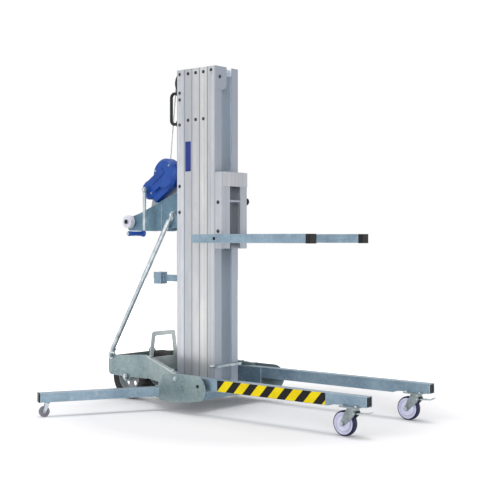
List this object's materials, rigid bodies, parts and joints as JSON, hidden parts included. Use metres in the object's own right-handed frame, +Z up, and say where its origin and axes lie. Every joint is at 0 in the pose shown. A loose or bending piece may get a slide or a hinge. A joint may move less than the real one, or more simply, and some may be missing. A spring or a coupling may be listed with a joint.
{
  "type": "material hoist",
  "caption": "Hand-winched telescopic material lift with an aluminium mast, load forks, swing-out stabilisers and casters",
  "frame": {"origin": "on the floor, midway between leg tips and the back of the wheel box, on the middle plane", "axes": "front with the forks is -Y, the crank side is -X, +Z is up"},
  "size_m": [1.8412, 1.968, 1.945],
  "materials": {
    "aluminium_profile": "extruded, mill finish",
    "galvanised_steel": "galvanised",
    "zinc_plate": "zinc plated",
    "bright_steel": "machined",
    "wire_rope": "laid wire",
    "black_plastic": "moulded",
    "blue_plastic": "moulded, satin",
    "white_plastic": "turned nylon",
    "black_rubber": "moulded tread",
    "grey_rim": "painted",
    "caster_disc": "moulded",
    "navy_tread": "elastic tread"
  },
  "bodies": {
    "base": {"chassis": "galvanised_steel", "wheel_box": "galvanised_steel", "tilt_handle": "galvanised_steel", "right_leg": "galvanised_steel", "left_leg": "galvanised_steel", "leg_plugs": "black_plastic", "right_stabiliser_bracket": "galvanised_steel", "left_stabiliser_bracket": "galvanised_steel", "stabiliser_pins": "zinc_plate", "caster_plates": "zinc_plate", "rear_axle": "bright_steel", "mast_section_1": "aluminium_profile", "carry_handles": "black_plastic", "storage_clip": "galvanised_steel", "brace_tube": "zinc_plate", "winch_bracket": "galvanised_steel", "winch_frame": "bright_steel", "winch_cover": "blue_plastic", "sheave_bracket": "bright_steel", "lifting_rope": "wire_rope"},
    "section_2": {"mast_section_2": "aluminium_profile"},
    "section_3": {"mast_section_3": "aluminium_profile"},
    "section_4": {"mast_section_4": "aluminium_profile"},
    "section_5": {"mast_section_5": "aluminium_profile", "carriage_stop": "zinc_plate"},
    "carriage": {"carriage_frame": "aluminium_profile", "fork_bar": "galvanised_steel", "right_fork": "galvanised_steel", "left_fork": "galvanised_steel", "fork_caps": "black_plastic"},
    "knob": {"carriage_knob": "black_plastic"},
    "drum": {"winch_drum": "bright_steel", "drum_gear": "bright_steel", "rope_winding": "wire_rope"},
    "idler": {"idler_gear": "bright_steel"},
    "crank": {"crank_shaft": "bright_steel", "crank_arm": "zinc_plate"},
    "grip": {"crank_grip": "blue_plastic"},
    "head_sheave_wheel": {"head_sheave": "black_plastic"},
    "front_sheave_wheel": {"front_sheave": "black_plastic"},
    "right_roller": {"right_loading_roller": "white_plastic"},
    "right_rear_wheel": {"right_rear_tyre": "black_rubber", "right_rear_rim": "grey_rim"},
    "right_caster": {"right_caster_fork": "zinc_plate"},
    "right_caster_wheel": {"right_caster_hub": "caster_disc", "right_caster_tyre": "navy_tread"},
    "right_pedal": {"right_brake_pedal": "zinc_plate"},
    "right_stabiliser_arm": {"right_stabiliser": "galvanised_steel"},
    "right_small_caster": {"right_small_fork": "zinc_plate"},
    "right_small_caster_wheel": {"right_small_wheel": "black_plastic"},
    "left_roller": {"left_loading_roller": "white_plastic"},
    "left_rear_wheel": {"left_rear_tyre": "black_rubber", "left_rear_rim": "grey_rim"},
    "left_caster": {"left_caster_fork": "zinc_plate"},
    "left_caster_wheel": {"left_caster_hub": "caster_disc", "left_caster_tyre": "navy_tread"},
    "left_pedal": {"left_brake_pedal": "zinc_plate"},
    "left_stabiliser_arm": {"left_stabiliser": "galvanised_steel"},
    "left_small_caster": {"left_small_fork": "zinc_plate"},
    "left_small_caster_wheel": {"left_small_wheel": "black_plastic"}
  },
  "joints": [
    {"name": "section_2_lift", "type": "slide", "parent": "base", "child": "section_2", "axis": [0, 0, 1], "range_m": [0, 1.4]},
    {"name": "section_3_lift", "type": "slide", "parent": "section_2", "child": "section_3", "axis": [0, 0, 1], "range_m": [0, 1.4]},
    {"name": "section_4_lift", "type": "slide", "parent": "section_3", "child": "section_4", "axis": [0, 0, 1], "range_m": [0, 1.4]},
    {"name": "section_5_lift", "type": "slide", "parent": "section_4", "child": "section_5", "axis": [0, 0, 1], "range_m": [0, 1.4]},
    {"name": "carriage_lift", "type": "slide", "parent": "section_5", "child": "carriage", "axis": [0, 0, 1], "range_m": [-0.62, 0.45]},
    {"name": "carriage_knob_turn", "type": "hinge", "parent": "carriage", "child": "knob", "pos_m": [0.11, 0.1545, 1.168], "axis": [1, 0, 0], "range_deg": [-180, 180]},
    {"name": "drum_spin", "type": "hinge", "parent": "base", "child": "drum", "pos_m": [0, 0.59, 1.335], "axis": [1, 0, 0], "continuous": true},
    {"name": "idler_spin", "type": "hinge", "parent": "base", "child": "idler", "pos_m": [0, 0.68177, 1.2731], "axis": [1, 0, 0], "continuous": true},
    {"name": "crank_spin", "type": "hinge", "parent": "base", "child": "crank", "pos_m": [0, 0.72256, 1.24558], "axis": [1, 0, 0], "continuous": true},
    {"name": "grip_spin", "type": "hinge", "parent": "crank", "child": "grip", "pos_m": [-0.194, 0.72256, 0.98559], "axis": [1, 0, 0], "continuous": true},
    {"name": "head_sheave_spin", "type": "hinge", "parent": "base", "child": "head_sheave_wheel", "pos_m": [0, 0.5165, 1.875], "axis": [1, 0, 0], "continuous": true},
    {"name": "front_sheave_spin", "type": "hinge", "parent": "section_5", "child": "front_sheave_wheel", "pos_m": [0, 0.2165, 1.89], "axis": [1, 0, 0], "continuous": true},
    {"name": "right_roller_spin", "type": "hinge", "parent": "base", "child": "right_roller", "pos_m": [-0.094, 0.89, 1.058], "axis": [1, 0, 0], "continuous": true},
    {"name": "right_rear_wheel_spin", "type": "hinge", "parent": "base", "child": "right_rear_wheel", "pos_m": [-0.125, 0.828, 0.135], "axis": [1, 0, 0], "continuous": true},
    {"name": "right_caster_swivel", "type": "hinge", "parent": "base", "child": "right_caster", "pos_m": [-0.295, -0.876, 0.134], "axis": [0, 0, 1], "continuous": true},
    {"name": "right_caster_wheel_spin", "type": "hinge", "parent": "right_caster", "child": "right_caster_wheel", "pos_m": [-0.295, -0.831, 0.0625], "axis": [1, 0, 0], "continuous": true},
    {"name": "right_pedal_press", "type": "hinge", "parent": "right_caster", "child": "right_pedal", "pos_m": [-0.295, -0.893, 0.116], "axis": [1, 0, 0], "range_deg": [0, 18]},
    {"name": "right_stabiliser_swing", "type": "hinge", "parent": "base", "child": "right_stabiliser_arm", "pos_m": [-0.298, 0.39, 0.105], "axis": [0, 0, 1], "range_deg": [-60, 0]},
    {"name": "right_small_caster_swivel", "type": "hinge", "parent": "right_stabiliser_arm", "child": "right_small_caster", "pos_m": [-0.87088, 0.70755, 0.074], "axis": [0, 0, 1], "continuous": true},
    {"name": "right_small_wheel_spin", "type": "hinge", "parent": "right_small_caster", "child": "right_small_caster_wheel", "pos_m": [-0.88487, 0.71531, 0.029], "axis": [-0.4848, -0.8746, 0], "continuous": true},
    {"name": "left_roller_spin", "type": "hinge", "parent": "base", "child": "left_roller", "pos_m": [0.094, 0.89, 1.058], "axis": [1, 0, 0], "continuous": true},
    {"name": "left_rear_wheel_spin", "type": "hinge", "parent": "base", "child": "left_rear_wheel", "pos_m": [0.125, 0.828, 0.135], "axis": [1, 0, 0], "continuous": true},
    {"name": "left_caster_swivel", "type": "hinge", "parent": "base", "child": "left_caster", "pos_m": [0.295, -0.876, 0.134], "axis": [0, 0, 1], "continuous": true},
    {"name": "left_caster_wheel_spin", "type": "hinge", "parent": "left_caster", "child": "left_caster_wheel", "pos_m": [0.295, -0.831, 0.0625], "axis": [1, 0, 0], "continuous": true},
    {"name": "left_pedal_press", "type": "hinge", "parent": "left_caster", "child": "left_pedal", "pos_m": [0.295, -0.893, 0.116], "axis": [1, 0, 0], "range_deg": [0, 18]},
    {"name": "left_stabiliser_swing", "type": "hinge", "parent": "base", "child": "left_stabiliser_arm", "pos_m": [0.298, 0.39, 0.105], "axis": [0, 0, 1], "range_deg": [0, 60]},
    {"name": "left_small_caster_swivel", "type": "hinge", "parent": "left_stabiliser_arm", "child": "left_small_caster", "pos_m": [0.87088, 0.70755, 0.074], "axis": [0, 0, 1], "continuous": true},
    {"name": "left_small_wheel_spin", "type": "hinge", "parent": "left_small_caster", "child": "left_small_caster_wheel", "pos_m": [0.88487, 0.71531, 0.029], "axis": [0.4848, -0.8746, 0], "continuous": true}
  ],
  "couplings": [
    {"joint": "drum_spin", "follows": "carriage_lift", "rad_per_m": -20.833},
    {"joint": "idler_spin", "follows": "carriage_lift", "rad_per_m": 59.524},
    {"joint": "crank_spin", "follows": "carriage_lift", "rad_per_m": -83.333},
    {"joint": "head_sheave_spin", "follows": "carriage_lift", "rad_per_m": -15.385},
    {"joint": "front_sheave_spin", "follows": "carriage_lift", "rad_per_m": -66.667}
  ]
}
